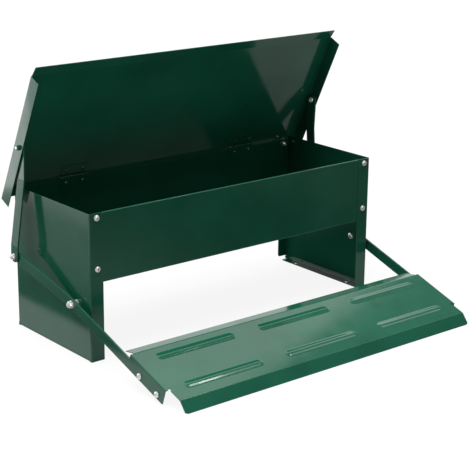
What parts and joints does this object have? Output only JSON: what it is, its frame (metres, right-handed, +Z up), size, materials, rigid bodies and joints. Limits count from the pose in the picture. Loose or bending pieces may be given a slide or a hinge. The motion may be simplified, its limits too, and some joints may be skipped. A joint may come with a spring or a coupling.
{
  "type": "treadle chicken feeder",
  "caption": "Folded sheet-steel poultry feed trough whose hinged lid is opened by a foot treadle through side arms and link bars; lid open, treadle down.",
  "frame": {"origin": "centre of the floor-hole pattern in the side panels' foot flanges, on the floor plane at the middle of the body", "axes": "+X along the feeder's width, -Y towards the treadle and the front, +Z up"},
  "size_m": [0.6708, 0.482, 0.4564],
  "materials": {
    "green_powder_coat": "gloss moss-green powder coat on folded sheet steel",
    "zinc_plated_steel": "bright zinc plating"
  },
  "bodies": {
    "body": {"left_side_panel": "green_powder_coat", "right_side_panel": "green_powder_coat", "front_panel": "green_powder_coat", "back_panel": "green_powder_coat", "trough_floor": "green_powder_coat", "trough_floor_rivets": "green_powder_coat", "front_panel_screws": "zinc_plated_steel", "front_panel_nuts": "zinc_plated_steel", "back_panel_screws": "zinc_plated_steel", "back_panel_nuts": "zinc_plated_steel", "left_pivot_bolt": "zinc_plated_steel", "right_pivot_bolt": "zinc_plated_steel", "pivot_bushes": "zinc_plated_steel", "pivot_washers": "zinc_plated_steel", "pivot_nuts": "zinc_plated_steel", "left_body_hinge_leaf": "green_powder_coat", "right_body_hinge_leaf": "green_powder_coat", "hinge_pins": "zinc_plated_steel", "body_hinge_rivets": "green_powder_coat"},
    "treadle": {"treadle_plate": "green_powder_coat", "left_treadle_arm": "green_powder_coat", "right_treadle_arm": "green_powder_coat", "treadle_screws": "zinc_plated_steel", "treadle_nuts": "zinc_plated_steel", "arm_link_bolts": "zinc_plated_steel"},
    "lid": {"lid_panel": "green_powder_coat", "left_lid_hinge_leaf": "green_powder_coat", "right_lid_hinge_leaf": "green_powder_coat", "lid_hinge_rivets": "green_powder_coat", "lid_link_bolts": "zinc_plated_steel", "lid_link_spacers": "zinc_plated_steel", "lid_link_nuts": "green_powder_coat"},
    "left_link": {"left_link_bar": "green_powder_coat", "left_link_stud": "zinc_plated_steel", "left_link_washer": "zinc_plated_steel", "left_link_nut": "zinc_plated_steel"},
    "right_link": {"right_link_bar": "green_powder_coat", "right_link_stud": "zinc_plated_steel", "right_link_washer": "zinc_plated_steel", "right_link_nut": "zinc_plated_steel"}
  },
  "joints": [
    {"name": "treadle_pivot", "type": "hinge", "parent": "body", "child": "treadle", "pos_m": [0, -0.071, 0.0895], "axis": [-1, 0, 0], "range_deg": [0, 31.27]},
    {"name": "lid_hinge", "type": "hinge", "parent": "body", "child": "lid", "pos_m": [0, 0.109, 0.2415], "axis": [1, 0, 0], "range_deg": [0, 64.4]},
    {"name": "left_link_pivot", "type": "hinge", "parent": "lid", "child": "left_link", "pos_m": [-0.3136, 0.06021, 0.31903], "axis": [-1, 0, 0], "range_deg": [0, 49.65]},
    {"name": "right_link_pivot", "type": "hinge", "parent": "lid", "child": "right_link", "pos_m": [0.3136, 0.06021, 0.31903], "axis": [-1, 0, 0], "range_deg": [0, 49.65]}
  ],
  "couplings": [
    {"joint": "lid_hinge", "follows": "treadle_pivot", "ratio": 2.0595},
    {"joint": "left_link_pivot", "follows": "treadle_pivot", "ratio": 1.5876},
    {"joint": "right_link_pivot", "follows": "treadle_pivot", "ratio": 1.5876}
  ]
}
